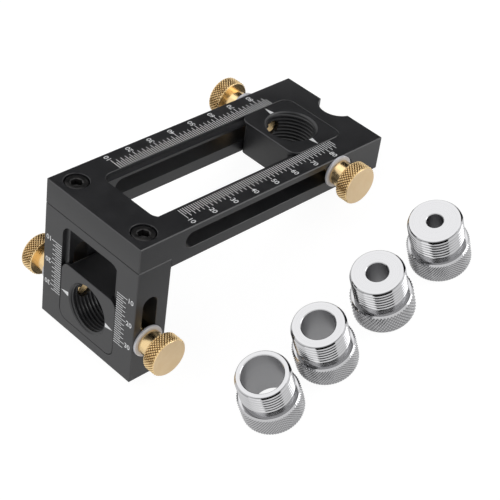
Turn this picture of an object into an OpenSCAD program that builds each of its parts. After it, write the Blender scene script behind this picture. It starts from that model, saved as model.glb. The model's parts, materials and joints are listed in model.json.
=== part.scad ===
// Drilling jig for cabinet fittings: a long frame and a short leg screwed to an L.
// A block with a threaded bore slides in the window of each and is locked by two thumb screws.
// Four guide bushings screw into the blocks and stand beside the jig on the bench.
// Millimetres. The jig is drawn square, from the corner where the panel's edge sits
// (x along the long frame, z up from the panel's face), and then leaned onto the bench.

/* [Jig body] */
// Length of the long frame, over the leg
frame_len = 119; // [100:0.5:180]
// Width of the jig across its rails
jig_w = 50; // [46:0.5:70]
// Thickness of the long frame
frame_t = 14; // [13:0.5:18]
// Thickness of the long frame where it lies over the leg
seat_t = 10; // [8.5:0.5:12]
// Thickness of the leg
leg_t = 15; // [13.5:0.5:20]
// Height of the leg below the long frame's underside
leg_drop = 45; // [43:0.5:80]
// Gap between the leg's tongue and the step it is tucked behind
seat_gap = 0.1; // [0.05:0.05:0.4]

/* [Windows] */
// Width of both windows at the outer face
win_w = 30; // [29:0.5:34]
// Corner radius of both windows at the outer face
win_r = 4; // [3:0.5:6]
// Width of the ledge along both sides of a window
ledge_w = 2.4; // [1.6:0.1:2.6]
// Depth of that ledge below the outer face
ledge_depth = 1.5; // [1:0.1:2]
// Corner radius of both windows below the ledge
inner_r = 2; // [1:0.25:3.5]
// Distance from the leg's inner face to the long frame's window
frame_win_start = 1; // [0.6:0.1:3]
// Web between the long frame's window and its free end
end_web = 11; // [9:0.5:20]
// Web between the leg's window and its foot
foot_web = 4; // [2.5:0.5:8]

/* [Sliding blocks] */
// Length of each block along its window
block_len = 25; // [23.5:0.5:30]
// Running gap between a block and the window's sides
block_gap = 0.1; // [0.05:0.05:0.3]
// Gap round the block's flange at the outer face
flange_gap = 0.2; // [0.1:0.05:0.4]
// Running gap between the flange and its ledge
ledge_gap = 0.05; // [0.02:0.01:0.2]
// Gap left at the end of a window when its block is run right up to it
end_gap = 0.15; // [0.05:0.05:0.5]
// How far the back of each block stays clear of the panel
panel_gap = 0.2; // [0.1:0.05:0.6]

/* [Bushing thread] */
// Nominal diameter of the thread in the blocks and on the bushings
thread_d = 20; // [18:0.5:20.5]
// Pitch of that thread
thread_pitch = 1.5; // [1:0.25:2]
// Chamfer at both mouths of a block's threaded bore
mouth_chamfer = 0.9; // [0.4:0.1:1.2]

/* [Locking screws] */
// Diameter of the thumb screws' threads
lock_d = 6; // [4:0.5:6.5]
// Running gap round a thumb screw in its block
lock_gap = 0.05; // [0.02:0.01:0.15]
// Gap round a thumb screw in the slot of a rail
slot_gap = 0.2; // [0.1:0.05:0.5]
// Depth of the long frame's slots below its outer face
frame_slot_depth = 5.8; // [5.2:0.1:7]
// Depth of the leg's slots behind its outer face
leg_slot_depth = 6.7; // [5.2:0.1:8]
// Extra run at each end of the long frame's slots
frame_slot_spare = 4.7; // [0.1:0.1:8]
// Extra run at each end of the leg's slots
leg_slot_spare = 0.1; // [0.1:0.1:3]
// Outer diameter of the nylon washers
washer_d = 12.6; // [10.5:0.1:14]
// Thickness of the nylon washers
washer_t = 1; // [0.6:0.1:2]
// Gap between a washer and its screw
washer_gap = 0.15; // [0.05:0.05:0.4]
// Diameter of the smooth collar behind the knurled head
collar_d = 10; // [8.5:0.1:12]
// Length of the smooth collar
collar_len = 5.5; // [3:0.1:9]
// Diameter of the knurled head
knob_d = 15.5; // [13.5:0.1:22]
// Length of the knurled head
knob_len = 5.4; // [4:0.1:10]
// Bevel on both edges of the knurled head
knob_bevel = 0.5; // [0.2:0.1:1]
// How far a locked screw's tip stays back from the threaded bore
tip_setback = 0.8; // [0.2:0.1:1.2]

/* [Cap screws] */
// Thread diameter of the cap screws that hold the leg
cap_d = 5; // [4:0.5:5]
// Length of their threads under the head
cap_len = 12; // [10:0.5:13]
// Diameter of their heads
cap_head_d = 8.5; // [7.5:0.1:9]
// Height of their heads
cap_head_h = 5; // [4:0.1:5.5]
// Width of their sockets across the flats
cap_socket_w = 4; // [3:0.5:4.5]
// Depth of their sockets
cap_socket_depth = 2.6; // [1.5:0.1:3]
// Gap round a head in its counterbore
cap_head_gap = 0.45; // [0.2:0.05:0.7]
// Gap round a thread in the long frame
cap_hole_gap = 0.25; // [0.1:0.05:0.5]
// Gap round a thread in the leg, in place of the thread's own flanks
cap_thread_gap = 0.05; // [0.02:0.01:0.1]
// How far the heads lie below the outer face
cap_sink = 0.4; // [0.1:0.1:1]
// Distance of the cap screws from the leg's outer face
cap_inset = 7.4; // [6.5:0.1:8]
// Distance of the cap screws from the rails' outer faces
cap_edge = 7.2; // [6:0.1:7.8]

/* [End notch] */
// Radius of the half-round notch in the frame's free end
notch_r = 7.5; // [5:0.5:10]
// Distance of the notch's centre outside that end
notch_out = 2; // [2:0.5:4]

/* [Bushings] */
// Drill bore of the first bushing
bore_1_d = 15; // [10:0.5:16]
// Drill bore of the second bushing
bore_2_d = 12; // [8:0.5:15]
// Drill bore of the third bushing
bore_3_d = 8; // [5:0.5:12]
// Drill bore of the fourth bushing
bore_4_d = 6; // [3:0.5:8]
// Chamfer at the mouths of the drill bores
bore_chamfer = 0.25; // [0.1:0.05:0.4]
// Height of a bushing
bush_h = 22; // [20:0.5:30]
// Diameter of a bushing's knurled head
bush_head_d = 22.8; // [21.5:0.1:26]
// Height of that head
bush_head_h = 10; // [6:0.5:12]
// Bevel on both edges of that head
bush_bevel = 0.8; // [0.3:0.1:1.5]
// Length of the undercut between head and thread
neck_len = 1.6; // [1:0.1:2.5]
// Depth of the undercut below the thread's roots
neck_cut = 0.3; // [0.1:0.1:0.4]
// Chamfer at the top of the bushing's thread
bush_top_chamfer = 0.8; // [0.4:0.1:1]
// How much smaller than nominal the bushing's thread is
bush_thread_slack = 0.2; // [0.1:0.05:0.3]

/* [On the bench] */
// First bushing, along the bench from the jig's panel corner
row_x = -3.7; // [-20:0.1:20]
// Distance of the first bushing's middle in front of the near rail
row_front = 43.5; // [38:0.5:70]
// Mean distance from bushing to bushing
row_pitch = 27.8; // [26:0.1:40]
// How much further forward each next bushing stands
row_drift = 1; // [0:0.1:3]

/* [Hidden] */

// Overrun of every cut past the face it leaves
over = 1;
// Roundness of every turned or drilled face
$fn = 96;
// Depth of an internal thread's crests as a share of its pitch, on the diameter
thread_share = 1.0825;
// Flat left on the crest of the bushing's thread, as a share of its pitch
crest_share = 0.18;
// Steps along the row at which the bushings happen to stand
row_step_shares = [0, 0.94, 1.96, 2.99];

// Long frame past the leg's inner face, and the lengths of both windows
reach = frame_len - leg_t;
frame_win_len = reach - frame_win_start - end_web;
leg_win_len = leg_drop - foot_web;
// Angle at which the jig leans, from the leg's foot to the frame's free end
lean = atan(leg_drop / reach);
// Inner radius of the blocks' threaded bores
bore_r = (thread_d - thread_share * thread_pitch) / 2;
// Half widths of a window below its ledge, of a block's body and of its flange
inner_half = win_w / 2 - ledge_w;
body_half = inner_half - block_gap;
flange_half = win_w / 2 - flange_gap;
flange_t = ledge_depth - ledge_gap;
// Width of the slots in the rails
slot_w = lock_d + 2 * slot_gap;
// Height of the slots' middle above the panel's face, and its place along x in the leg
frame_slot_z = frame_t - frame_slot_depth;
leg_slot_x = leg_slot_depth - leg_t;
// Where a screw stands when its block is run to the end of its window
end_run = block_len / 2 + end_gap;
// Places of the blocks' middles: along x in the frame's far end, down z at the leg's foot
face_x = frame_win_start + frame_win_len - end_run;
edge_z = end_run - leg_win_len;
// Seat of the washers, and reach of a thumb screw from it
rail_y = jig_w / 2;
knob_out = washer_t + collar_len + knob_len;
lock_tip_y = bore_r + tip_setback;
// Cap screws along x and y, and the height of their heads' seats
cap_x = cap_inset - leg_t;
cap_side = rail_y - cap_edge;
cap_seat_z = frame_t - cap_sink - cap_head_h;

// The bushings' row on the bench
bush_bores = [bore_1_d, bore_2_d, bore_3_d, bore_4_d];
bush_x = [for (s = row_step_shares) row_x + s * row_pitch];
bush_y = [for (i = [0 : len(row_step_shares) - 1]) -rail_y - row_front - i * row_drift];
bush_r = bush_head_d / 2;

// Bounds of the whole set, so that its origin lies under its middle
set_left = min(-leg_t * cos(lean) - leg_drop * sin(lean), min(bush_x) - bush_r);
set_right = max(reach * cos(lean) + frame_t * sin(lean), max(bush_x) + bush_r);
set_back = rail_y + knob_out;
set_front = min(min(bush_y) - bush_r, -set_back);
mid_x = (set_left + set_right) / 2;
mid_y = (set_back + set_front) / 2;

// Leans what is drawn square onto the bench and centres the set
module on_jig() {
    translate([-mid_x, -mid_y, leg_drop * cos(lean)])
        rotate([0, lean, 0])
            children();
}

// Stands a turned piece on the bench at its place in the row
module on_bench(i) {
    translate([bush_x[i] - mid_x, bush_y[i] - mid_y, 0])
        children();
}

// Plate from z = 0 up, centred on the origin, with its four upright edges rounded
module rounded_plate(len_x, len_y, h, r) {
    translate([-len_x / 2, r - len_y / 2, 0]) cube([len_x, len_y - 2 * r, h]);
    translate([r - len_x / 2, -len_y / 2, 0]) cube([len_x - 2 * r, len_y, h]);
    for (sx = [-1, 1], sy = [-1, 1])
        translate([sx * (len_x / 2 - r), sy * (len_y / 2 - r), 0])
            cylinder(h = h, r = r);
}

// Window cut: outer face at z = 0, ledge below it, and a straight run through depth
module window_cut(len_x, depth) {
    translate([0, 0, -ledge_depth])
        rounded_plate(len_x, win_w, ledge_depth + over, win_r);
    translate([0, 0, -depth - over])
        rounded_plate(len_x, 2 * inner_half, depth + over, inner_r);
}

// Slot cut along x through both rails, with round ends
module slot_cut(len_x) {
    run = len_x - slot_w;
    translate([-run / 2, -rail_y - over, -slot_w / 2])
        cube([run, jig_w + 2 * over, slot_w]);
    for (sx = [-1, 1])
        translate([sx * run / 2, 0, 0])
            rotate([90, 0, 0])
                cylinder(h = jig_w + 2 * over, d = slot_w, center = true);
}

// Block with its outer face at z = 0, its threaded bore along z and its lock holes along y
module block_form(depth, hole_depth) {
    difference() {
        union() {
            translate([0, 0, -flange_t])
                rounded_plate(block_len, 2 * flange_half, flange_t, win_r - flange_gap);
            translate([0, 0, -depth])
                rounded_plate(block_len, 2 * body_half, depth, inner_r);
        }
        translate([0, 0, -depth - over])
            cylinder(h = depth + 2 * over, r = bore_r);
        for (mouth = [0, 1])
            translate([0, 0, -mouth * depth])
                mirror([0, 0, mouth])
                    translate([0, 0, -mouth_chamfer])
                        cylinder(h = mouth_chamfer + over, r1 = bore_r, r2 = bore_r + mouth_chamfer + over);
        translate([0, 0, -hole_depth])
            rotate([90, 0, 0])
                cylinder(h = 2 * body_half + 2 * over, r = lock_d / 2 + lock_gap, center = true);
    }
}

// Places what is drawn with its outer face at z = 0 into the long frame's or the leg's window
module in_frame(x) {
    translate([x, 0, frame_t]) children();
}
module in_leg(z) {
    translate([-leg_t, 0, z]) rotate([0, -90, 0]) children();
}

// Places what is turned round z, from the rail outwards, on a screw's axis at a rail's side
module at_rail(x, z, side) {
    translate([x, side * rail_y, z]) rotate([-side * 90, 0, 0]) children();
}

// Washer between a rail and a thumb screw's collar
module washer_form() {
    color("lightgray")
        difference() {
            cylinder(h = washer_t, d = washer_d);
            translate([0, 0, -over])
                cylinder(h = washer_t + 2 * over, r = lock_d / 2 + washer_gap);
        }
}

// Thumb screw: thread from its tip to the washer, smooth collar and head
module thumb_screw_form() {
    head_z = washer_t + collar_len;
    color("goldenrod")
        rotate_extrude()
            polygon([
                [0, lock_tip_y - rail_y],
                [lock_d / 2, lock_tip_y - rail_y],
                [lock_d / 2, washer_t],
                [collar_d / 2, washer_t],
                [collar_d / 2, head_z],
                [knob_d / 2 - knob_bevel, head_z],
                [knob_d / 2, head_z + knob_bevel],
                [knob_d / 2, knob_out - knob_bevel],
                [knob_d / 2 - knob_bevel, knob_out],
                [0, knob_out]
            ]);
}

// Cap screw with its seat at z = 0
module cap_screw_form() {
    color("dimgray")
        difference() {
            union() {
                cylinder(h = cap_head_h, d = cap_head_d);
                translate([0, 0, -cap_len]) cylinder(h = cap_len + cap_head_h / 2, d = cap_d);
            }
            translate([0, 0, cap_head_h - cap_socket_depth])
                cylinder(h = cap_socket_depth + over, d = cap_socket_w / cos(180 / 6), $fn = 6);
        }
}

// Guide bushing on its head, thread up; the thread is drawn as rings of its own pitch
module bushing_form(bore) {
    crest = (thread_d - bush_thread_slack) / 2;
    root = bore_r - bush_thread_slack / 2;
    neck_top = bush_head_h + neck_len;
    rings = floor((bush_h - bush_top_chamfer - neck_top) / thread_pitch);
    flat = crest_share * thread_pitch;
    ring_z = [for (i = [0 : rings - 1]) bush_h - bush_top_chamfer - i * thread_pitch];
    color("silver")
        rotate_extrude()
            polygon(concat(
                [[bore / 2 + bore_chamfer, 0], [bush_r - bush_bevel, 0], [bush_r, bush_bevel],
                 [bush_r, bush_head_h - bush_bevel], [bush_r - bush_bevel, bush_head_h],
                 [root - neck_cut, bush_head_h], [root - neck_cut, neck_top], [root, neck_top]],
                [for (i = [rings - 1 : -1 : 0])
                    each [[root, ring_z[i] - thread_pitch + flat],
                          [crest, ring_z[i] - thread_pitch / 2 - flat / 2],
                          [crest, ring_z[i] - thread_pitch / 2 + flat / 2],
                          [root, ring_z[i] - flat]]],
                [[root, bush_h - bush_top_chamfer], [crest - bush_top_chamfer, bush_h],
                 [bore / 2 + bore_chamfer, bush_h], [bore / 2, bush_h - bore_chamfer],
                 [bore / 2, bore_chamfer]]
            ));
}

module main_frame() {
    color("#2b2b2d")
        on_jig()
            difference() {
                translate([-leg_t, -rail_y, 0]) cube([frame_len, jig_w, frame_t]);
                // rebate that the leg's tongue is tucked into
                translate([-leg_t - over, -rail_y - over, -over])
                    cube([leg_t + over, jig_w + 2 * over, frame_t - seat_t + over]);
                // window and side slots
                in_frame(frame_win_start + frame_win_len / 2)
                    window_cut(frame_win_len, frame_t);
                translate([frame_win_start + frame_win_len / 2, 0, frame_slot_z])
                    slot_cut(frame_win_len - 2 * end_run + slot_w + 2 * frame_slot_spare);
                // half-round notch in the free end
                translate([reach + notch_out, 0, -over])
                    cylinder(h = frame_t + 2 * over, r = notch_r);
                // counterbored holes of the cap screws
                for (side = [-1, 1])
                    translate([cap_x, side * cap_side, 0]) {
                        translate([0, 0, -over])
                            cylinder(h = frame_t + 2 * over, r = cap_d / 2 + cap_hole_gap);
                        translate([0, 0, cap_seat_z])
                            cylinder(h = frame_t - cap_seat_z + over, r = cap_head_d / 2 + cap_head_gap);
                    }
            }
}

module leg_frame() {
    leg_top = frame_t - seat_t;
    tapped = cap_len - (cap_seat_z - leg_top) + over;
    color("#38383a")
        on_jig()
            difference() {
                union() {
                    translate([-leg_t, -rail_y, -leg_drop]) cube([leg_t, jig_w, leg_drop]);
                    translate([-leg_t, -rail_y, -leg_drop])
                        cube([leg_t - seat_gap, jig_w, leg_drop + leg_top]);
                }
                // window and side slots
                in_leg(-leg_win_len / 2)
                    window_cut(leg_win_len, leg_t);
                translate([leg_slot_x, 0, -leg_win_len / 2])
                    rotate([0, 90, 0])
                        slot_cut(leg_win_len - 2 * end_run + slot_w + 2 * leg_slot_spare);
                // tapped holes of the cap screws
                for (side = [-1, 1])
                    translate([cap_x, side * cap_side, leg_top - tapped])
                        cylinder(h = tapped + over, r = cap_d / 2 + cap_thread_gap);
            }
}

module cap_screw_far() { on_jig() translate([cap_x, cap_side, cap_seat_z]) cap_screw_form(); }
module cap_screw_near() { on_jig() translate([cap_x, -cap_side, cap_seat_z]) cap_screw_form(); }

module face_block() {
    color("#303032")
        on_jig() in_frame(face_x) block_form(frame_t - panel_gap, frame_slot_depth);
}
module edge_block() {
    color("#3c3c3e")
        on_jig() in_leg(edge_z) block_form(leg_t - panel_gap, leg_slot_depth);
}

module washer_face_far() { on_jig() at_rail(face_x, frame_slot_z, 1) washer_form(); }
module washer_face_near() { on_jig() at_rail(face_x, frame_slot_z, -1) washer_form(); }
module washer_edge_far() { on_jig() at_rail(leg_slot_x, edge_z, 1) washer_form(); }
module washer_edge_near() { on_jig() at_rail(leg_slot_x, edge_z, -1) washer_form(); }

module thumb_screw_face_far() { on_jig() at_rail(face_x, frame_slot_z, 1) thumb_screw_form(); }
module thumb_screw_face_near() { on_jig() at_rail(face_x, frame_slot_z, -1) thumb_screw_form(); }
module thumb_screw_edge_far() { on_jig() at_rail(leg_slot_x, edge_z, 1) thumb_screw_form(); }
module thumb_screw_edge_near() { on_jig() at_rail(leg_slot_x, edge_z, -1) thumb_screw_form(); }

module bushing_15() { on_bench(0) bushing_form(bush_bores[0]); }
module bushing_12() { on_bench(1) bushing_form(bush_bores[1]); }
module bushing_8() { on_bench(2) bushing_form(bush_bores[2]); }
module bushing_6() { on_bench(3) bushing_form(bush_bores[3]); }

main_frame();
leg_frame();
cap_screw_far();
cap_screw_near();
face_block();
edge_block();
washer_face_far();
washer_face_near();
washer_edge_far();
washer_edge_near();
thumb_screw_face_far();
thumb_screw_face_near();
thumb_screw_edge_far();
thumb_screw_edge_near();
bushing_15();
bushing_12();
bushing_8();
bushing_6();
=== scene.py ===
"""A drilling jig for cabinet fittings and its four guide bushings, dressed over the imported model."""
import json
from math import ceil, cos, pi, radians, sin, tau

import bmesh
import bpy
from mathutils import Matrix, Vector

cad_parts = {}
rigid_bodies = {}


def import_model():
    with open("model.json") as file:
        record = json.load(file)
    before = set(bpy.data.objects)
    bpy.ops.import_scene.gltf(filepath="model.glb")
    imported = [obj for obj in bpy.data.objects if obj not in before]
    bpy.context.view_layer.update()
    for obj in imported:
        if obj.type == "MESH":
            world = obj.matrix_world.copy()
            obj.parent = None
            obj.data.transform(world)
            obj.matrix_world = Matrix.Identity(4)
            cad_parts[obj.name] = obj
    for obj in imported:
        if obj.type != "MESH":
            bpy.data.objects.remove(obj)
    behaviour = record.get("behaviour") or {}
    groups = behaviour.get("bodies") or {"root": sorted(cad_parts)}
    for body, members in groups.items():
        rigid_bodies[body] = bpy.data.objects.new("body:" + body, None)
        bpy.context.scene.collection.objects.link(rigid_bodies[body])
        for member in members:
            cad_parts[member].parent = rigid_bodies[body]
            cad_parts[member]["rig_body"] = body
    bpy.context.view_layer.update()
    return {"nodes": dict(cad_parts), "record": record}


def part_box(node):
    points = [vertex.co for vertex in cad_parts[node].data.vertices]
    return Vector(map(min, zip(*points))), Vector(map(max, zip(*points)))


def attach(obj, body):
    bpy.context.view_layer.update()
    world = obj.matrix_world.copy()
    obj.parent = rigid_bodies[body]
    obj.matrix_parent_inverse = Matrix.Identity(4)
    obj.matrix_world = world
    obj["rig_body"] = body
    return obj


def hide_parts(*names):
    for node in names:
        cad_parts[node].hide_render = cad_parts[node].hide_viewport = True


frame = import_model()
MM = 0.001


# The long frame and the leg: two bars of aluminium, milled with their windows, ledges and slots, then
# blasted and anodised black. Every outside edge is broken with a small chamfer, painted a lighter black:
# partly the thinner dye there, partly a painted highlight. A fine seam shows where the leg meets the long
# frame.
BAR_CHAMFER = 0.32 * MM
BAR_INNER_CHAMFER = 0.14 * MM
BAR_BLACK = (0.0142, 0.0144, 0.0162, 1)
BAR_BLOOM = (0.0182, 0.0184, 0.0204, 1)
BAR_EDGE_WEAR_AND_HIGHLIGHT = (0.034, 0.034, 0.036, 1)
BAR_ROUGHNESS = (0.34, 0.41)
BAR_GLOSS = 0.72
BLAST_PIT = 0.16 * MM
BLAST_CLOUD = 9 * MM
BLAST_BUMP = (0.7, 0.009 * MM)
PIT_ROUGHNESS = 0.6
CLOUD_RANGE = (0.3, 0.7)
SAME_PLACE = 0.001 * MM
SAME_FACE = 0.01 * MM
SAME_FLAT = radians(0.5)
TURNED_STEP = radians(24)
SQUARE_EDGE = radians(60)
SEAM = 0.2 * MM

mounts = {mount["name"]: mount for mount in frame["record"]["mounts"]}
jig_up = Vector(mounts["face_bushing_thread"]["axis"])
jig_along = Vector(mounts["panel_edge_stop"]["axis"])
jig_across = jig_up.cross(jig_along)
panel_edge = Vector(mounts["panel_edge_stop"]["pos_m"])
panel_face = Vector(mounts["panel_face_rest"]["pos_m"])
corner = panel_edge + jig_up * jig_up.dot(panel_face - panel_edge)
corner.y = sum(point.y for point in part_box("main_frame")) / 2
square = Matrix.Translation(corner) @ Matrix((jig_along, jig_across, jig_up)).transposed().to_4x4()


def square_box(name):
    """Lowest and highest corner of a node, measured square to the jig from its panel corner."""
    back = square.inverted()
    points = [back @ vertex.co for vertex in frame["nodes"][name].data.vertices]
    return Vector(map(min, zip(*points))), Vector(map(max, zip(*points)))


def node(tree, kind, sockets=None, **settings):
    """Adds a node; each of its sockets takes a link from another node, or a plain value."""
    made = tree.nodes.new(kind)
    for name, value in settings.items():
        setattr(made, name, value)
    for key, value in (sockets or {}).items():
        if isinstance(value, bpy.types.NodeSocket):
            tree.links.new(value, made.inputs[key])
        else:
            made.inputs[key].default_value = value
    return made


def calc(tree, operation, *values):
    """One step of arithmetic in a tree."""
    return node(tree, "ShaderNodeMath", dict(enumerate(values)), operation=operation).outputs[0]


def blend_of(tree, share, first, second):
    """A colour between two others."""
    return node(tree, "ShaderNodeMix", {0: share, 6: first, 7: second}, data_type="RGBA").outputs[2]


def spread_of(tree, value, low, high, first, last):
    """A value moved from one range to another and held inside it."""
    return node(tree, "ShaderNodeMapRange", {0: value, 1: low, 2: high, 3: first, 4: last}).outputs[0]


def effect(name, inputs, outputs):
    """An empty shader group with named inputs and outputs."""
    group = bpy.data.node_groups.new(name, "ShaderNodeTree")
    kinds = {"vector": "NodeSocketVector", "value": "NodeSocketFloat"}
    for socket, kind in inputs.items():
        group.interface.new_socket(name=socket, in_out="INPUT", socket_type=kinds[kind])
    for socket, kind in outputs.items():
        group.interface.new_socket(name=socket, in_out="OUTPUT", socket_type=kinds[kind])
    return group, group.nodes.new("NodeGroupInput").outputs, group.nodes.new("NodeGroupOutput")


def blasted_effect():
    """Fine pits of a blasted surface, and the broad, faint clouds that handling leaves on it."""
    group, given, result = effect(
        "Blasted", {"Place": "vector", "Pit Size": "value", "Cloud Size": "value"},
        {"Pits": "value", "Clouds": "value"})
    pit_scale, cloud_scale = [calc(group, "DIVIDE", 1, given[size]) for size in ("Pit Size", "Cloud Size")]
    pits = node(group, "ShaderNodeTexNoise", {
        "Vector": given["Place"], "Scale": pit_scale, "Detail": 2, "Roughness": PIT_ROUGHNESS})
    clouds = node(group, "ShaderNodeTexNoise", {
        "Vector": given["Place"], "Scale": cloud_scale, "Detail": 3})
    group.links.new(pits.outputs["Fac"], result.inputs["Pits"])
    group.links.new(spread_of(group, clouds.outputs["Fac"], *CLOUD_RANGE, 0, 1), result.inputs["Clouds"])
    return group


def blast_on(tree, pit_size, cloud_size):
    """Pits and clouds of the blasted effect on a material, at these sizes on the object itself."""
    place = node(tree, "ShaderNodeTexCoord").outputs["Object"]
    made = node(tree, "ShaderNodeGroup", {"Place": place, "Pit Size": pit_size, "Cloud Size": cloud_size},
                node_tree=blasted)
    return made.outputs["Pits"], made.outputs["Clouds"]


def bump_of(tree, height, strength, depth):
    """The normal of a surface that a height of 1 lifts by depth."""
    lifted = node(tree, "ShaderNodeBump", {"Strength": strength, "Distance": depth, "Height": height})
    return lifted.outputs[0]


def finish_with(material, **sockets):
    """Ends a material in one Principled surface with these sockets."""
    tree = material.node_tree
    named = {name.replace("_", " ").title().replace("Ior", "IOR"): value for name, value in sockets.items()}
    surface = node(tree, "ShaderNodeBsdfPrincipled", named)
    node(tree, "ShaderNodeOutputMaterial", {"Surface": surface.outputs[0]})
    return material


def new_material(name):
    """An empty material and its tree."""
    material = bpy.data.materials.new(name)
    material.use_nodes = True
    material.node_tree.nodes.clear()
    return material, material.node_tree


def own(tree, name):
    """A value that the mesh carries by name."""
    return node(tree, "ShaderNodeAttribute", attribute_name=name).outputs["Fac"]


def anodised_material():
    material, tree = new_material("black_anodised_aluminium")
    pits, clouds = blast_on(tree, BLAST_PIT, BLAST_CLOUD)
    face = blend_of(tree, clouds, BAR_BLACK, BAR_BLOOM)
    return finish_with(
        material,
        # The chamfers take a lighter black: partly the thinner dye there, partly a painted highlight.
        base_color=blend_of(tree, own(tree, "chamfer"), face, BAR_EDGE_WEAR_AND_HIGHLIGHT),
        roughness=spread_of(tree, clouds, 0, 1, *BAR_ROUGHNESS),
        specular_ior_level=BAR_GLOSS,
        normal=bump_of(tree, pits, *BLAST_BUMP))


def chamfered_copy(name, outer, inner):
    """A node's mesh with its doubles merged and its flats joined up. The edges between two of its outer
    faces are broken by outer, and those where a window, slot or bore opens in one by inner."""
    low, high = square_box(name)
    back = square.inverted()

    def faces_met(edge):
        """How many of the six outer faces of the bar's own box an edge lies in."""
        ends = [back @ vertex.co for vertex in edge.verts]
        return sum(all(abs(end[way] - limit[way]) < SAME_FACE for end in ends)
                   for way in range(3) for limit in (low, high))

    mesh = frame["nodes"][name].data.copy()
    mesh.name = name + "_dressed"
    if "custom_normal" in mesh.attributes:
        mesh.attributes.remove(mesh.attributes["custom_normal"])
    form = bmesh.new()
    form.from_mesh(mesh)
    bmesh.ops.remove_doubles(form, verts=form.verts, dist=SAME_PLACE)
    bmesh.ops.dissolve_limit(form, angle_limit=SAME_FLAT, verts=form.verts, edges=form.edges)
    mark = form.faces.layers.float.new("chamfer")
    for offset, met in [(outer, (1, 2))] if outer == inner else [(outer, (2,)), (inner, (1,))]:
        square_edges = [edge for edge in form.edges if edge.is_manifold
                        and edge.calc_face_angle_signed() > SQUARE_EDGE and faces_met(edge) in met]
        broken = bmesh.ops.bevel(form, geom=square_edges, offset=offset, offset_type="OFFSET", segments=1,
                                 profile=0.5, affect="EDGES", clamp_overlap=False, loop_slide=True)
        for face in broken["faces"]:
            face[mark] = 1
    form.to_mesh(mesh)
    form.free()
    return mesh


def soften(mesh, step=TURNED_STEP):
    """Shades turned faces as round, and leaves every sharper edge as an edge."""
    mesh.shade_smooth()
    mesh.set_sharp_from_angle(angle=step)


def add_piece(name, mesh, material, replaced=None, body=None):
    """Puts a finished mesh in the scene; it rides with the node that it replaces."""
    piece = bpy.data.objects.new(name, mesh)
    bpy.context.scene.collection.objects.link(piece)
    mesh.materials.clear()
    mesh.materials.append(material)
    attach(piece, body or frame["nodes"][replaced]["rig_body"])
    if replaced:
        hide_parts(replaced)
    return piece


blasted = blasted_effect()
anodised = anodised_material()
for bar in ["main_frame", "leg_frame"]:
    bar_mesh = chamfered_copy(bar, BAR_CHAMFER, BAR_INNER_CHAMFER)
    if bar == "leg_frame":
        low, high = square_box(bar)
        for vertex in bar_mesh.vertices:
            if (square.inverted() @ vertex.co).z > high.z - BAR_CHAMFER - SAME_PLACE:
                vertex.co -= jig_up * SEAM
    soften(bar_mesh)
    add_piece(bar + "_body", bar_mesh, anodised, bar)


# The two cap screws that pull the leg up into its rebate: black oxide steel, cold headed, with a rolled
# straight knurl round the head, a hexagon socket and a cone at the socket's bottom.
CAP_HEAD_R = 4.25 * MM
CAP_HEAD_H = 5.0 * MM
CAP_SHANK_R = 2.5 * MM
CAP_SOCKET_R = 2.0 * MM
CAP_SOCKET_DEPTH = 2.6 * MM
CAP_SOCKET_LEAD = 0.27 * MM
CAP_SOCKET_FLOOR_R = 1.92 * MM
CAP_EDGE = 0.45 * MM
CAP_GRIP_CUTS = 36
CAP_GRIP_DEPTH = 0.12 * MM
CAP_COLUMNS = 144
ARC_SHARE = 0.3
OXIDE_BLACK = (0.020, 0.020, 0.021, 1)
OXIDE_BROWN = (0.045, 0.043, 0.042, 1)
OXIDE_METAL = 0.55
OXIDE_ROUGHNESS = (0.28, 0.42)
OXIDE_PIT = 0.3 * MM
OXIDE_CLOUD = 2 * MM
OXIDE_BUMP = (0.5, 0.01 * MM)


def turned(rings, columns):
    """A skin turned round z through rings of radius and height. A ring of radius 0 closes it."""
    form = bmesh.new()
    turns = [tau * i / columns for i in range(columns)]
    last = None
    for radius, height in rings:
        if radius == 0:
            ring = [form.verts.new((0, 0, height))]
        else:
            reach = [radius(turn) if callable(radius) else radius for turn in turns]
            ring = [form.verts.new((r * cos(t), r * sin(t), height)) for r, t in zip(reach, turns)]
        for i in range(columns if last else 0):
            j = i + 1
            corners = [last[i % len(last)], last[j % len(last)], ring[j % len(ring)], ring[i % len(ring)]]
            form.faces.new(dict.fromkeys(corners))
        last = ring
    skin = bpy.data.meshes.new("skin")
    form.to_mesh(skin)
    form.free()
    return skin


def welded(name, *skins):
    """One closed mesh from skins that meet ring to ring; it remembers its place on the lathe."""
    form = bmesh.new()
    for skin in skins:
        form.from_mesh(skin)
        bpy.data.meshes.remove(skin)
    bmesh.ops.remove_doubles(form, verts=form.verts, dist=SAME_PLACE)
    bmesh.ops.recalc_face_normals(form, faces=form.faces)
    mesh = bpy.data.meshes.new(name)
    form.to_mesh(mesh)
    form.free()
    lathe = mesh.attributes.new("lathe", "FLOAT_VECTOR", "POINT")
    lathe.data.foreach_set("vector", [value for vertex in mesh.vertices for value in vertex.co])
    return mesh


def socket_ring(turn):
    """Radius of the hexagon socket at each turn."""
    return CAP_SOCKET_R / cos(turn % (tau / 6) - tau / 12)


def grip_ring(turn):
    """Radius of the knurled head at each turn: a flat crest and a small cut."""
    return CAP_HEAD_R - CAP_GRIP_DEPTH * max(0, cos(turn * CAP_GRIP_CUTS))


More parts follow.
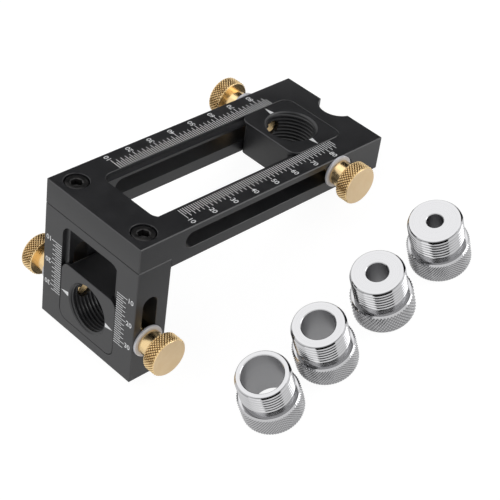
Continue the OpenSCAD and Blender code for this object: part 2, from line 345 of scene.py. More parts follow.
def cap_screw_mesh(shank):
    """A socket head cap screw with its seat at height 0."""
    arc = ARC_SHARE * CAP_EDGE
    grip_top = CAP_HEAD_H - 2 * CAP_EDGE
    socket_floor = CAP_HEAD_H - CAP_SOCKET_DEPTH
    return welded("cap_screw", turned([
        (0, -shank), (CAP_SHANK_R - CAP_EDGE, -shank), (CAP_SHANK_R, CAP_EDGE - shank), (CAP_SHANK_R, 0),
        (CAP_HEAD_R - CAP_GRIP_DEPTH, 0), (grip_ring, CAP_GRIP_DEPTH), (grip_ring, grip_top),
        (CAP_HEAD_R, grip_top + arc), (CAP_HEAD_R, CAP_HEAD_H - CAP_EDGE),
        (CAP_HEAD_R - arc, CAP_HEAD_H - arc), (CAP_HEAD_R - CAP_EDGE, CAP_HEAD_H),
        (CAP_SOCKET_R + CAP_EDGE, CAP_HEAD_H), (socket_ring, CAP_HEAD_H - CAP_SOCKET_LEAD),
        (socket_ring, socket_floor), (CAP_SOCKET_FLOOR_R, socket_floor),
        (0, socket_floor - CAP_SOCKET_R / 2)], CAP_COLUMNS))


def oxide_material():
    material, tree = new_material("black_oxide_steel")
    pits, clouds = blast_on(tree, OXIDE_PIT, OXIDE_CLOUD)
    return finish_with(
        material,
        base_color=blend_of(tree, clouds, OXIDE_BLACK, OXIDE_BROWN),
        metallic=OXIDE_METAL,
        roughness=spread_of(tree, clouds, 0, 1, *OXIDE_ROUGHNESS),
        normal=bump_of(tree, pits, *OXIDE_BUMP))


oxide = oxide_material()
for cap in ["cap_screw_far", "cap_screw_near"]:
    low, high = square_box(cap)
    cap_mesh = cap_screw_mesh(high.z - low.z - CAP_HEAD_H)
    seat = Vector(((low.x + high.x) / 2, (low.y + high.y) / 2, high.z - CAP_HEAD_H))
    cap_mesh.transform(square @ Matrix.Translation(seat))
    soften(cap_mesh)
    add_piece(cap + "_body", cap_mesh, oxide, cap)


# The two sliding blocks: the same anodised aluminium, milled to slide in the windows, with a threaded
# bore for the bushings. The thread is cut into each block by a tap of the bushings' thread form.
BLOCK_CHAMFER = 0.25 * MM
BUSH_PITCH = 1.5 * MM
TAP_CREST_R = 10.02 * MM
TAP_ROOT_R = 9.13 * MM
TAP_LENGTH = 24 * MM
TAP_START = -6 * MM
TAP_COLUMNS = 128
STEPS_A_TURN = 8
FLANK_RANGE = (0.25, 0.875)


def geometry_tree(name, sizes, counts=()):
    """An empty geometry tree with named inputs for sizes, counts and its material."""
    tree = bpy.data.node_groups.new(name, "GeometryNodeTree")
    kinds = [(size, "NodeSocketFloat") for size in sizes] + [(count, "NodeSocketInt") for count in counts]
    for socket, kind in [*kinds, ("Material", "NodeSocketMaterial")]:
        tree.interface.new_socket(name=socket, in_out="INPUT", socket_type=kind)
    tree.interface.new_socket(name="Mesh", in_out="OUTPUT", socket_type="NodeSocketGeometry")
    return tree, tree.nodes.new("NodeGroupInput").outputs


def end_tree(tree, geometry, material):
    """Ends a geometry tree in real mesh with its material on it."""
    real = node(tree, "GeometryNodeRealizeInstances", {"Geometry": geometry})
    painted = node(tree, "GeometryNodeSetMaterial", {"Geometry": real.outputs[0], "Material": material})
    node(tree, "NodeGroupOutput", {"Mesh": painted.outputs[0]})


def grown(tree, **values):
    """The plain mesh that a geometry tree makes from these inputs."""
    seed = bpy.data.objects.new(tree.name, bpy.data.meshes.new(tree.name))
    bpy.context.scene.collection.objects.link(seed)
    modifier = seed.modifiers.new(tree.name, "NODES")
    modifier.node_group = tree
    named = {name.replace("_", " ").title(): value for name, value in values.items()}
    for item in tree.interface.items_tree:
        if item.in_out == "INPUT" and item.name in named:
            modifier[item.identifier] = named[item.name]
    graph = bpy.context.evaluated_depsgraph_get()
    mesh = bpy.data.meshes.new_from_object(seed.evaluated_get(graph), depsgraph=graph)
    seed.modifiers.remove(modifier)
    bpy.data.objects.remove(seed)
    return mesh


def wrapped(tree, sheet, turn, radius, height):
    """Wraps the points of a flat sheet round z, and closes it where its sides meet."""
    angle = calc(tree, "MULTIPLY", turn, tau)
    place = node(tree, "ShaderNodeCombineXYZ", {
        0: calc(tree, "MULTIPLY", radius, calc(tree, "COSINE", angle)),
        1: calc(tree, "MULTIPLY", radius, calc(tree, "SINE", angle)), 2: height})
    moved = node(tree, "GeometryNodeSetPosition", {"Geometry": sheet, "Position": place.outputs[0]})
    closed = node(tree, "GeometryNodeMergeByDistance", {
        "Geometry": moved.outputs[0], "Distance": SAME_PLACE})
    return closed.outputs[0]


def flat_sheet(tree, columns, rows):
    """A sheet of squares, and how far each point lies along both of its sides, from 0 to 1."""
    sheet = node(tree, "GeometryNodeMeshGrid", {
        "Size X": 1, "Size Y": 1,
        "Vertices X": calc(tree, "ADD", columns, 1), "Vertices Y": calc(tree, "ADD", rows, 1)})
    point = node(tree, "ShaderNodeSeparateXYZ", {0: node(tree, "GeometryNodeInputPosition").outputs[0]})
    along, up = [calc(tree, "ADD", point.outputs[way], 0.5) for way in (0, 1)]
    return sheet.outputs["Mesh"], along, up


def wave_of(tree, value):
    """A straight wave that is 0 at each whole number and 1 halfway between two."""
    return calc(tree, "MULTIPLY", calc(tree, "PINGPONG", value, 0.5), 2)


def with_groove(tree, sheet, skin, cut, depth):
    """The sheet, with how deep the cut lies below the skin at each point, from 0 to 1."""
    deep = calc(tree, "MAXIMUM", calc(tree, "DIVIDE", calc(tree, "SUBTRACT", skin, cut), depth), 0)
    kept = node(tree, "GeometryNodeStoreNamedAttribute", {
        "Geometry": sheet, "Name": "groove", "Value": deep}, data_type="FLOAT", domain="POINT")
    return kept.outputs[0]


def thread_tree():
    """A right-hand thread from height 0 to Length, chamfered down to a radius at either end."""
    tree, given = geometry_tree(
        "Thread", ["Crest Radius", "Root Radius", "Foot Radius", "Tip Radius", "Pitch", "Length"],
        ["Columns", "Turns"])
    turns = calc(tree, "ADD", given["Turns"], 1)
    sheet, round_share, rise_share = flat_sheet(
        tree, given["Columns"], calc(tree, "MULTIPLY", turns, STEPS_A_TURN))
    turns_up = calc(tree, "MULTIPLY", rise_share, turns)
    climbed = calc(tree, "SUBTRACT", calc(tree, "ADD", turns_up, round_share), 1)
    free = calc(tree, "MULTIPLY", climbed, given["Pitch"])
    height = calc(tree, "MINIMUM", calc(tree, "MAXIMUM", free, 0), given["Length"])
    flank = spread_of(tree, wave_of(tree, turns_up), *FLANK_RANGE, 0, 1)
    depth = calc(tree, "SUBTRACT", given["Crest Radius"], given["Root Radius"])
    cut = calc(tree, "ADD", given["Root Radius"], calc(tree, "MULTIPLY", depth, flank))
    foot = calc(tree, "ADD", given["Foot Radius"], height)
    tip = calc(tree, "ADD", given["Tip Radius"], calc(tree, "SUBTRACT", given["Length"], height))
    skin = calc(tree, "MINIMUM", calc(tree, "MINIMUM", foot, tip), given["Crest Radius"])
    kept = with_groove(tree, sheet, skin, cut, depth)
    radius = calc(tree, "MINIMUM", cut, skin)
    end_tree(tree, wrapped(tree, kept, round_share, radius, height), given["Material"])
    return tree


def tap_mesh():
    """The tap that cuts a block's thread: longer than the bore, and closed at both ends."""
    tap = grown(thread, crest_radius=TAP_CREST_R, root_radius=TAP_ROOT_R, foot_radius=TAP_ROOT_R,
                tip_radius=TAP_ROOT_R, pitch=BUSH_PITCH, length=TAP_LENGTH, columns=TAP_COLUMNS,
                turns=ceil(TAP_LENGTH / BUSH_PITCH), material=anodised)
    ends = [turned([(0, height), (TAP_ROOT_R, height)], TAP_COLUMNS) for height in (0, TAP_LENGTH)]
    return welded("tap", tap, *ends)


def tapped(mesh, mount):
    """The mesh of a block, with the thread cut along its bore."""
    centre = Vector(mounts[mount]["pos_m"])
    upright = Vector(mounts[mount]["axis"]).to_track_quat("Z", "Y").to_matrix().to_4x4()
    tool_mesh = tap_mesh()
    tool_mesh.transform(Matrix.Translation(centre) @ upright @ Matrix.Translation((0, 0, TAP_START)))
    pair = [bpy.data.objects.new(name, data) for name, data in (("uncut", mesh), ("tap", tool_mesh))]
    for item in pair:
        bpy.context.scene.collection.objects.link(item)
    cut = pair[0].modifiers.new("Tap", "BOOLEAN")
    cut.object, cut.operation, cut.solver = pair[1], "DIFFERENCE", "EXACT"
    graph = bpy.context.evaluated_depsgraph_get()
    result = bpy.data.meshes.new_from_object(pair[0].evaluated_get(graph), depsgraph=graph)
    for item in pair:
        bpy.data.objects.remove(item)
    return result


thread = thread_tree()
for block, bore in [("face_block", "face_bushing_thread"), ("edge_block", "edge_bushing_thread")]:
    block_mesh = tapped(chamfered_copy(block, BLOCK_CHAMFER, BLOCK_CHAMFER), bore)
    soften(block_mesh)
    add_piece(block + "_body", block_mesh, anodised, block)


# The nylon washers that keep the brass off the anodised rails: punched from sheet and tumbled, so their
# rims are a little round. Each one keeps a hair's breadth free of the rail and of the brass. Natural
# nylon lets some light in.
WASHER_SOFT = 0.18 * MM
WASHER_FREE = 0.01 * MM
WASHER_STEP = radians(50)
WASHER_COLUMNS = 96
NYLON = (0.68, 0.68, 0.72, 1)
NYLON_LIGHT = (0.76, 0.76, 0.79, 1)
NYLON_ROUGHNESS = 0.45
NYLON_GLOW = 0.25
NYLON_GLOW_DEPTH = 0.6 * MM
NYLON_PIT = 0.25 * MM
NYLON_CLOUD = 3 * MM
NYLON_BUMP = (0.4, 0.02 * MM)


def at_rail(name, seat):
    """Places what is turned round z onto a rail, with z pointing out from the jig and height 0 at seat."""
    low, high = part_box(name)
    side = 1 if (low.y + high.y) / 2 > corner.y else -1
    centre = Vector(((low.x + high.x) / 2, corner.y + side * seat, (low.z + high.z) / 2))
    return Matrix.Translation(centre) @ Matrix.Rotation(-side * pi / 2, 4, "X")


def reach_of(name):
    """How far a node's inner and outer ends lie from the jig's middle plane."""
    return sorted(abs(end.y - corner.y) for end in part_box(name))


def washer_mesh(name):
    low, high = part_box(name)
    outer, thick = (high.x - low.x) / 2, high.y - low.y
    middle = (low + high) / 2
    inner = min((vertex.co - middle).xz.length for vertex in frame["nodes"][name].data.vertices)
    soft, foot, top = WASHER_SOFT, WASHER_FREE, thick - WASHER_FREE
    arc = ARC_SHARE * soft
    mesh = welded(name, turned([
        (inner, foot + soft), (inner + soft, foot), (outer - soft, foot), (outer - arc, foot + arc),
        (outer, foot + soft), (outer, top - soft), (outer - arc, top - arc), (outer - soft, top),
        (inner + soft, top), (inner, top - soft), (inner, foot + soft)], WASHER_COLUMNS))
    mesh.transform(at_rail(name, reach_of(name)[0]))
    soften(mesh, WASHER_STEP)
    return mesh


def nylon_material():
    material, tree = new_material("natural_nylon")
    pits, clouds = blast_on(tree, NYLON_PIT, NYLON_CLOUD)
    return finish_with(
        material,
        base_color=blend_of(tree, clouds, NYLON, NYLON_LIGHT),
        roughness=NYLON_ROUGHNESS,
        subsurface_weight=NYLON_GLOW,
        subsurface_radius=[NYLON_GLOW_DEPTH] * 3,
        subsurface_scale=1.0,
        normal=bump_of(tree, pits, *NYLON_BUMP))


nylon = nylon_material()
for washer in [name for name in frame["nodes"] if name.startswith("washer")]:
    add_piece(washer + "_body", washer_mesh(washer), nylon, washer)


# The thumb screws: turned from free-cutting brass bar, threaded to the collar, with a diamond knurl
# rolled round the head and both of its edges bevelled after the knurling. The face is left as turned,
# which makes it less bright than the sides. The sides are painted a deeper gold than the face, a painted
# reflection of brass mirroring itself. The knurl's grooves are painted darker: partly the oxide that brass
# keeps in its hollows, partly painted shade.
LOCK_R = 3.0 * MM
LOCK_ROOT_R = 2.45 * MM
LOCK_PITCH = 1.0 * MM
LOCK_TIP_CHAMFER = 0.3 * MM
COLLAR_R = 5.0 * MM
COLLAR_LENGTH = 5.5 * MM
COLLAR_EDGE = 0.2 * MM
KNOB_LENGTH = 5.4 * MM
KNOB_BEVEL = 0.62 * MM
KNOB_CUTS = 40
KNOB_RANKS = 4
KNURL_DEPTH = 0.52 * MM
KNURL_CREST = 1.3
CUT_COLUMNS = 4
BRASS = (0.87, 0.67, 0.42, 1)
BRASS_GROOVE_OXIDE_AND_SHADE = (0.085, 0.036, 0.010, 1)
BRASS_WARM = (0.82, 0.60, 0.34, 1)
BRASS_SIDE_PAINTED_REFLECTION = (0.88, 0.65, 0.345, 1)
BRASS_WARM_SHARE = 0.6
BRASS_GROOVE = (0.48, 0.95)
BRASS_ROUGHNESS = (0.21, 0.29)
BRASS_FACE_ROUGHNESS = 0.07
BRASS_RINGS = 0.14 * MM
BRASS_CLOUD = 2.5 * MM
BRASS_BUMP = (0.6, 0.012 * MM)
RING_SHADE = 0.12


def knurl_tree():
    """A diamond knurl from height 0 to Length, with both ends bevelled smooth."""
    tree, given = geometry_tree("Knurl", ["Radius", "Length", "Depth", "Bevel"], ["Cuts", "Ranks"])
    sheet, round_share, rise_share = flat_sheet(
        tree, calc(tree, "MULTIPLY", given["Cuts"], CUT_COLUMNS),
        calc(tree, "MULTIPLY", given["Ranks"], 2 * CUT_COLUMNS))
    climb = calc(tree, "MULTIPLY", given["Ranks"], rise_share)
    one_way = calc(tree, "MULTIPLY", given["Cuts"], round_share)
    other_way = calc(tree, "ADD", one_way, calc(tree, "MULTIPLY", climb, 2))
    turn = calc(tree, "ADD", round_share, calc(tree, "DIVIDE", climb, given["Cuts"]))
    height = calc(tree, "MULTIPLY", rise_share, given["Length"])
    wave = calc(tree, "MINIMUM", wave_of(tree, one_way), wave_of(tree, other_way))
    lift = calc(tree, "MINIMUM", calc(tree, "MULTIPLY", wave, KNURL_CREST), 1)
    fall = calc(tree, "SUBTRACT", 1, lift)
    cut = calc(tree, "SUBTRACT", given["Radius"], calc(tree, "MULTIPLY", given["Depth"], fall))
    from_end = calc(tree, "MINIMUM", height, calc(tree, "SUBTRACT", given["Length"], height))
    bevel = calc(tree, "ADD", calc(tree, "SUBTRACT", given["Radius"], given["Bevel"]), from_end)
    skin = calc(tree, "MINIMUM", bevel, given["Radius"])
    kept = with_groove(tree, sheet, skin, cut, given["Depth"])
    round_sheet = wrapped(tree, kept, turn, calc(tree, "MINIMUM", cut, bevel), height)
    split = node(tree, "GeometryNodeTriangulate", {"Mesh": round_sheet}, quad_method="SHORTEST_DIAGONAL")
    end_tree(tree, split.outputs[0], given["Material"])
    return tree


def lathe_effect():
    """Fine rings that a lathe tool leaves: they follow the radius on a face and the height on a side."""
    group, given, result = effect(
        "Lathe rings", {"Lathe": "vector", "Ring Width": "value"}, {"Rings": "value", "Shade": "value"})
    part = node(group, "ShaderNodeSeparateXYZ", {0: given["Lathe"]})
    squares = [calc(group, "MULTIPLY", part.outputs[way], part.outputs[way]) for way in (0, 1)]
    radius = calc(group, "SQRT", calc(group, "ADD", *squares))
    profile = node(group, "ShaderNodeCombineXYZ", {0: radius, 1: part.outputs[2]}).outputs[0]
    fine = calc(group, "DIVIDE", 1, given["Ring Width"])
    broad = calc(group, "MULTIPLY", fine, RING_SHADE)
    rings = node(group, "ShaderNodeTexNoise", {"Vector": profile, "Scale": fine, "Detail": 2})
    shade = node(group, "ShaderNodeTexNoise", {"Vector": profile, "Scale": broad})
    group.links.new(rings.outputs["Fac"], result.inputs["Rings"])
    group.links.new(spread_of(group, shade.outputs["Fac"], *CLOUD_RANGE, 0, 1), result.inputs["Shade"])
    return group


def rings_on(tree, width):
    """Lathe rings of this width on a material, and their broader shade."""
    lathe = node(tree, "ShaderNodeAttribute", attribute_name="lathe").outputs["Vector"]
    made = node(tree, "ShaderNodeGroup", {"Lathe": lathe, "Ring Width": width}, node_tree=lathe_rings)
    return made.outputs["Rings"], made.outputs["Shade"]


def brass_material():
    material, tree = new_material("turned_brass")
    rings, shade = rings_on(tree, BRASS_RINGS)
    clouds = blast_on(tree, BLAST_PIT, BRASS_CLOUD)[1]
    turned_face = blend_of(tree, calc(tree, "MULTIPLY", clouds, BRASS_WARM_SHARE), BRASS, BRASS_WARM)
    pale = own(tree, "pale")
    # The knurl's grooves are darker: partly the oxide that brass keeps in its hollows, partly painted
    # shade.
    groove = spread_of(tree, own(tree, "groove"), *BRASS_GROOVE, 0, 1)
    return finish_with(
        material,
        # The sides take a deeper gold than the face: a painted reflection of brass mirroring itself.
        base_color=blend_of(tree, groove, blend_of(tree, pale, BRASS_SIDE_PAINTED_REFLECTION, turned_face), BRASS_GROOVE_OXIDE_AND_SHADE),
        metallic=1.0,
        roughness=calc(tree, "ADD", spread_of(tree, shade, 0, 1, *BRASS_ROUGHNESS),
                       calc(tree, "MULTIPLY", pale, BRASS_FACE_ROUGHNESS)),
        normal=bump_of(tree, rings, *BRASS_BUMP))


def mark_points(mesh, name, level_of):
    """Lets each point of a mesh carry a level by name, worked out from its place."""
    levels = [float(level_of(vertex.co)) for vertex in mesh.vertices]
    mesh.attributes.new(name, "FLOAT", "POINT").data.foreach_set("value", levels)


def thumb_screw_mesh(name):
    """A thumb screw with its washer's seat on the rail at height 0."""
    low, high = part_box(name)
    knob_r = (high.x - low.x) / 2
    tip, top = [reach - rail for reach in reach_of(name)]
    tip_r = LOCK_ROOT_R - LOCK_TIP_CHAMFER
    knob_foot = top - KNOB_LENGTH
    collar_foot = knob_foot - COLLAR_LENGTH
    columns = KNOB_CUTS * CUT_COLUMNS
    shank = grown(thread, crest_radius=LOCK_R, root_radius=LOCK_ROOT_R, foot_radius=tip_r,
                  tip_radius=LOCK_ROOT_R, pitch=LOCK_PITCH, length=collar_foot - tip, columns=columns,
                  turns=ceil((collar_foot - tip) / LOCK_PITCH), material=brass)
    knurled = grown(knurl, radius=knob_r, length=KNOB_LENGTH, depth=KNURL_DEPTH, bevel=KNOB_BEVEL,
                    cuts=KNOB_CUTS, ranks=KNOB_RANKS, material=brass)
    shank.transform(Matrix.Translation((0, 0, tip)))
    knurled.transform(Matrix.Translation((0, 0, knob_foot)))
    collar = turned([
        (LOCK_ROOT_R, collar_foot), (COLLAR_R - COLLAR_EDGE, collar_foot),
        (COLLAR_R, collar_foot + COLLAR_EDGE), (COLLAR_R, knob_foot),
        (knob_r - KNOB_BEVEL, knob_foot)], columns)
    face = turned([(knob_r - KNOB_BEVEL, top), (0, top)], columns)
    end = turned([(0, tip), (tip_r, tip)], columns)
    mesh = welded(name, shank, knurled, collar, face, end)
    mark_points(mesh, "pale", lambda point: point.z > top - SAME_PLACE)
    mesh.transform(at_rail(name, rail))
    soften(mesh)
    return mesh


knurl = knurl_tree()
lathe_rings = lathe_effect()
brass = brass_material()
rail = (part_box("main_frame")[1].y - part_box("main_frame")[0].y) / 2
for screw in [name for name in frame["nodes"] if name.startswith("thumb_screw")]:
    add_piece(screw + "_body", thumb_screw_mesh(screw), brass, screw)


# The four guide bushings: turned from bright steel, drilled for 15, 12, 8 and 6 mm drills, with a fine
# diamond knurl on the head, an undercut above it and the blocks' thread up to a chamfered top face.
BUSH_HEIGHT = 22 * MM
BUSH_HEAD_LENGTH = 10 * MM
BUSH_BEVEL = 0.8 * MM
BUSH_NECK_LENGTH = 1.6 * MM
BUSH_CREST_R = 9.9 * MM
BUSH_ROOT_R = 9.088 * MM
BUSH_NECK_R = 8.788 * MM
BUSH_TIP_R = 9.08 * MM
BORE_CHAMFER = 0.25 * MM
BUSH_KNURLS = {"bushing_15": (72, 7), "bushing_12": (72, 7), "bushing_8": (56, 5), "bushing_6": (72, 7)}
BUSH_KNURL_DEPTH = 0.34 * MM
NECK_DULL_AND_SHADED = 0.5
STEEL = (0.50, 0.50, 0.51, 1)
STEEL_LIGHT = (0.58, 0.58, 0.59, 1)
STEEL_DULL_SHADED = (0.47, 0.47, 0.48, 1)
STEEL_ROOT_OIL_AND_SHADE = (0.14, 0.14, 0.145, 1)
STEEL_GRAIN = (0.35, 0.65)
STEEL_GROOVE = (0.35, 1, 0, 0.8)
STEEL_ROUGHNESS = (0.07, 0.12)
STEEL_DULL_ROUGHNESS = 0.24
STEEL_RINGS = 0.22 * MM
STEEL_BUMP = (0.5, 0.007 * MM)


def bushing_mesh(name):
    low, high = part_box(name)
    head_r = (high.x - low.x) / 2
    bore_r = mounts[name + "_drill_bore"]["dims"]["r_mm"] * MM
    cuts, ranks = BUSH_KNURLS[name]
    columns = cuts * CUT_COLUMNS
    thread_foot = BUSH_HEAD_LENGTH + BUSH_NECK_LENGTH
    thread_length = BUSH_HEIGHT - thread_foot
    head = grown(knurl, radius=head_r, length=BUSH_HEAD_LENGTH, depth=BUSH_KNURL_DEPTH, bevel=BUSH_BEVEL,
                 cuts=cuts, ranks=ranks, material=steel)
    screw = grown(thread, crest_radius=BUSH_CREST_R, root_radius=BUSH_ROOT_R, foot_radius=BUSH_NECK_R,
                  tip_radius=BUSH_TIP_R, pitch=BUSH_PITCH, length=thread_length, columns=columns,
                  turns=ceil(thread_length / BUSH_PITCH), material=steel)
    screw.transform(Matrix.Translation((0, 0, thread_foot)))
    neck = turned([(head_r - BUSH_BEVEL, BUSH_HEAD_LENGTH), (BUSH_NECK_R, BUSH_HEAD_LENGTH),
                   (BUSH_NECK_R, thread_foot)], columns)
    bore = turned([
        (BUSH_TIP_R, BUSH_HEIGHT), (bore_r + BORE_CHAMFER, BUSH_HEIGHT),
        (bore_r, BUSH_HEIGHT - BORE_CHAMFER), (bore_r, BORE_CHAMFER),
        (bore_r + BORE_CHAMFER, 0), (head_r - BUSH_BEVEL, 0)], columns)
    mesh = welded(name, head, screw, neck, bore)

    def dullness(point):
        """The bore is as drilled, and the neck is half as dull; all else is bright. The same level also
        paints them a little darker, as painted shade in these recesses.
        """
        reach = point.xy.length
        beside_neck = BUSH_HEAD_LENGTH < point.z + SAME_PLACE < thread_foot
        in_neck = beside_neck and reach < BUSH_NECK_R + SAME_PLACE
        return 1 if reach < bore_r + SAME_PLACE else NECK_DULL_AND_SHADED * in_neck

    mark_points(mesh, "dull_and_shaded", dullness)
    mesh.transform(Matrix.Translation(((low.x + high.x) / 2, (low.y + high.y) / 2, low.z)))
    soften(mesh)
    return mesh


def steel_material():
    material, tree = new_material("bright_turned_steel")
    rings, shade = rings_on(tree, STEEL_RINGS)
    # Thread roots and knurl grooves are darker: partly oil left in them, partly painted shade.
    groove = spread_of(tree, own(tree, "groove"), *STEEL_GROOVE)
    dull_and_shaded = own(tree, "dull_and_shaded")
    grain = spread_of(tree, rings, *STEEL_GRAIN, 0, 1)
    # The bore and neck take a slightly darker steel: painted shade in these recesses, besides their rougher
    # finish.
    clean = blend_of(tree, dull_and_shaded, blend_of(tree, grain, STEEL, STEEL_LIGHT), STEEL_DULL_SHADED)
    return finish_with(
        material,
        base_color=blend_of(tree, groove, clean, STEEL_ROOT_OIL_AND_SHADE),
        metallic=1.0,
        roughness=calc(tree, "ADD", spread_of(tree, shade, 0, 1, *STEEL_ROUGHNESS),
                       calc(tree, "MULTIPLY", dull_and_shaded, STEEL_DULL_ROUGHNESS)),
        normal=bump_of(tree, rings, *STEEL_BUMP))


steel = steel_material()
for bushing in [name for name in frame["nodes"] if name.startswith("bushing")]:
    add_piece(bushing + "_body", bushing_mesh(bushing), steel, bushing)


# The scales on the rails and the arrows on the blocks: marked white by a laser after anodising, level
# with the surface. One mark a millimetre, longer at the even ones and the tens, with numbers at the tens.
MARK_THICK = 0.03 * MM
FRAME_MARK_W = 0.28 * MM
LEG_MARK_W = 0.26 * MM
MARK_STEP = 1.0 * MM
MARK_START = 0.15 * MM
MARK_SHORT = 3.4 * MM
MARK_EVEN = 4.9 * MM
MARK_TENTH = 5.5 * MM
MARK_TENS = 10
FRAME_MARKS = (10, 85)
LEG_MARKS = (10, 32)
DIGIT_SIZE = 2.9 * MM
DIGIT_STRETCH = 1.04
DIGIT_GAP = 0.12 * MM
DIGIT_BOLD = 0.03 * MM
DIGIT_STEPS = 4
WINDOW_GAP = 0.2 * MM
ARROW_BASE = 1.9 * MM
ARROW_LENGTH = 4.0 * MM
ARROW_BACK = 0.5 * MM
WHITE = (0.92, 0.93, 0.94, 1)
WHITE_WORN = (0.84, 0.85, 0.86, 1)
WHITE_ROUGHNESS = 0.6
WHITE_PIT = 0.12 * MM
WHITE_CLOUD = 1.5 * MM
WHITE_BUMP = (0.3, 0.005 * MM)


def scale_tree():
    """A row of marks along x, each from Start outwards in y, numbered from First."""
    tree, given = geometry_tree(
        "Scale", ["Step", "Width", "Thickness", "Start", "Side", "Short", "Even", "Tenth"],
        ["First", "Count"])
    offset = node(tree, "ShaderNodeCombineXYZ", {0: given["Step"]}).outputs[0]
    first = calc(tree, "MULTIPLY", given["First"], given["Step"])
    begin = node(tree, "ShaderNodeCombineXYZ", {0: first}).outputs[0]
    row = node(tree, "GeometryNodeMeshLine", {
        "Count": given["Count"], "Start Location": begin, "Offset": offset}, mode="OFFSET")
    number = calc(tree, "ADD", node(tree, "GeometryNodeInputIndex").outputs[0], given["First"])
    even, tenth = [calc(tree, "LESS_THAN", calc(tree, "MODULO", number, every), 0.5)
                   for every in (2, MARK_TENS)]
    even_more = calc(tree, "MULTIPLY", even, calc(tree, "SUBTRACT", given["Even"], given["Short"]))
    tenth_more = calc(tree, "MULTIPLY", tenth, calc(tree, "SUBTRACT", given["Tenth"], given["Even"]))
    length = calc(tree, "ADD", given["Short"], calc(tree, "ADD", even_more, tenth_more))
    middle = calc(tree, "ADD", given["Start"], calc(tree, "DIVIDE", length, 2))
    shift = node(tree, "ShaderNodeCombineXYZ", {1: calc(tree, "MULTIPLY", given["Side"], middle)})
    spaced = node(tree, "GeometryNodeSetPosition", {"Geometry": row.outputs[0], "Offset": shift.outputs[0]})
    size = node(tree, "ShaderNodeCombineXYZ", {0: given["Width"], 1: length, 2: given["Thickness"]})
    cube = node(tree, "GeometryNodeMeshCube")
    marks = node(tree, "GeometryNodeInstanceOnPoints", {
        "Points": spaced.outputs[0], "Instance": cube.outputs[0], "Scale": size.outputs[0]})
    end_tree(tree, marks.outputs[0], given["Material"])
    return tree


def number_mesh(number, reach, side):
    """A number that starts beside its mark's end and reads outwards from there."""
    text = bpy.data.curves.new("number", "FONT")
    text.body, text.size, text.extrude = str(number), DIGIT_SIZE, MARK_THICK / 2
    text.offset = DIGIT_BOLD
    text.align_x, text.align_y = "LEFT", "CENTER"
    text.resolution_u = DIGIT_STEPS
    carrier = bpy.data.objects.new("number", text)
    bpy.context.scene.collection.objects.link(carrier)
    graph = bpy.context.evaluated_depsgraph_get()
    mesh = bpy.data.meshes.new_from_object(carrier.evaluated_get(graph), depsgraph=graph)
    bpy.data.objects.remove(carrier)
    mesh.transform(Matrix.Translation((number * MARK_STEP, side * reach, 0))
                   @ Matrix.Rotation(side * pi / 2, 4, "Z") @ Matrix.Diagonal((DIGIT_STRETCH, 1, 1, 1)))
    return mesh


def scale_mesh(name, marks, width, window_half):
    """Marks and numbers on both rails, drawn flat: x along the scale, y across the jig."""
    form = bmesh.new()
    first, last = marks
    start = window_half + MARK_START
    reach = start + MARK_TENTH + DIGIT_GAP
    for side in (-1, 1):
        parts = [grown(scale, step=MARK_STEP, width=width, thickness=MARK_THICK, start=start, side=side,
                       short=MARK_SHORT, even=MARK_EVEN, tenth=MARK_TENTH, first=first,
                       count=last - first + 1, material=marked)]
        parts += [number_mesh(number, reach, side) for number in range(first, last + 1, MARK_TENS)]
        for part in parts:
            form.from_mesh(part)
            bpy.data.meshes.remove(part)
    mesh = bpy.data.meshes.new(name)
    form.to_mesh(mesh)
    form.free()
    return mesh


def arrow_mesh(name, middle, inner):
    """Two arrows on a block, one to each rail, as thin plates."""
    form = bmesh.new()
    for side in (-1, 1):
        base, tip = side * inner, side * (inner + ARROW_LENGTH)
        flat = [(middle - ARROW_BASE / 2, base), (middle + ARROW_BASE / 2, base), (middle, tip)]
        low = [form.verts.new((x, y, -MARK_THICK / 2)) for x, y in flat]
        high = [form.verts.new((x, y, MARK_THICK / 2)) for x, y in flat]
        form.faces.new(low)
        form.faces.new(high)
        for i in range(3):
            j = (i + 1) % 3
            form.faces.new((low[i], low[j], high[j], high[i]))
    bmesh.ops.recalc_face_normals(form, faces=form.faces)
    mesh = bpy.data.meshes.new(name)
    form.to_mesh(mesh)
    form.free()
    return mesh


def marked_material():
    material, tree = new_material("laser_mark")
    pits, clouds = blast_on(tree, WHITE_PIT, WHITE_CLOUD)
    return finish_with(
        material,
        base_color=blend_of(tree, clouds, WHITE_WORN, WHITE),
        roughness=WHITE_ROUGHNESS,
        normal=bump_of(tree, pits, *WHITE_BUMP))


scale = scale_tree()
marked = marked_material()
block_low, block_high = square_box("face_block")
edge_low, edge_high = square_box("edge_block")
window_half = block_high.y + WINDOW_GAP
leg_turn = Matrix(((0, 0, -1), (0, -1, 0), (-1, 0, 0))).to_4x4()
on_frame = square @ Matrix.Translation((0, 0, square_box("main_frame")[1].z))
on_leg = square @ Matrix.Translation((square_box("leg_frame")[0].x, 0, 0)) @ leg_turn
arrow_inner = block_high.y - ARROW_LENGTH - ARROW_BACK
for name, body, drawn, place in [
        ("frame_scale", "jig", scale_mesh("frame_scale", FRAME_MARKS, FRAME_MARK_W, window_half), on_frame),
        ("leg_scale", "jig", scale_mesh("leg_scale", LEG_MARKS, LEG_MARK_W, window_half), on_leg),
        ("face_block_arrows", "face_block",
         arrow_mesh("face_arrows", (block_low.x + block_high.x) / 2, arrow_inner), on_frame),
        ("edge_block_arrows", "edge_block",
         arrow_mesh("edge_arrows", -(edge_low.z + edge_high.z) / 2, arrow_inner), on_leg)]:
    drawn.transform(place)
    add_piece(name, drawn, marked, body=body)


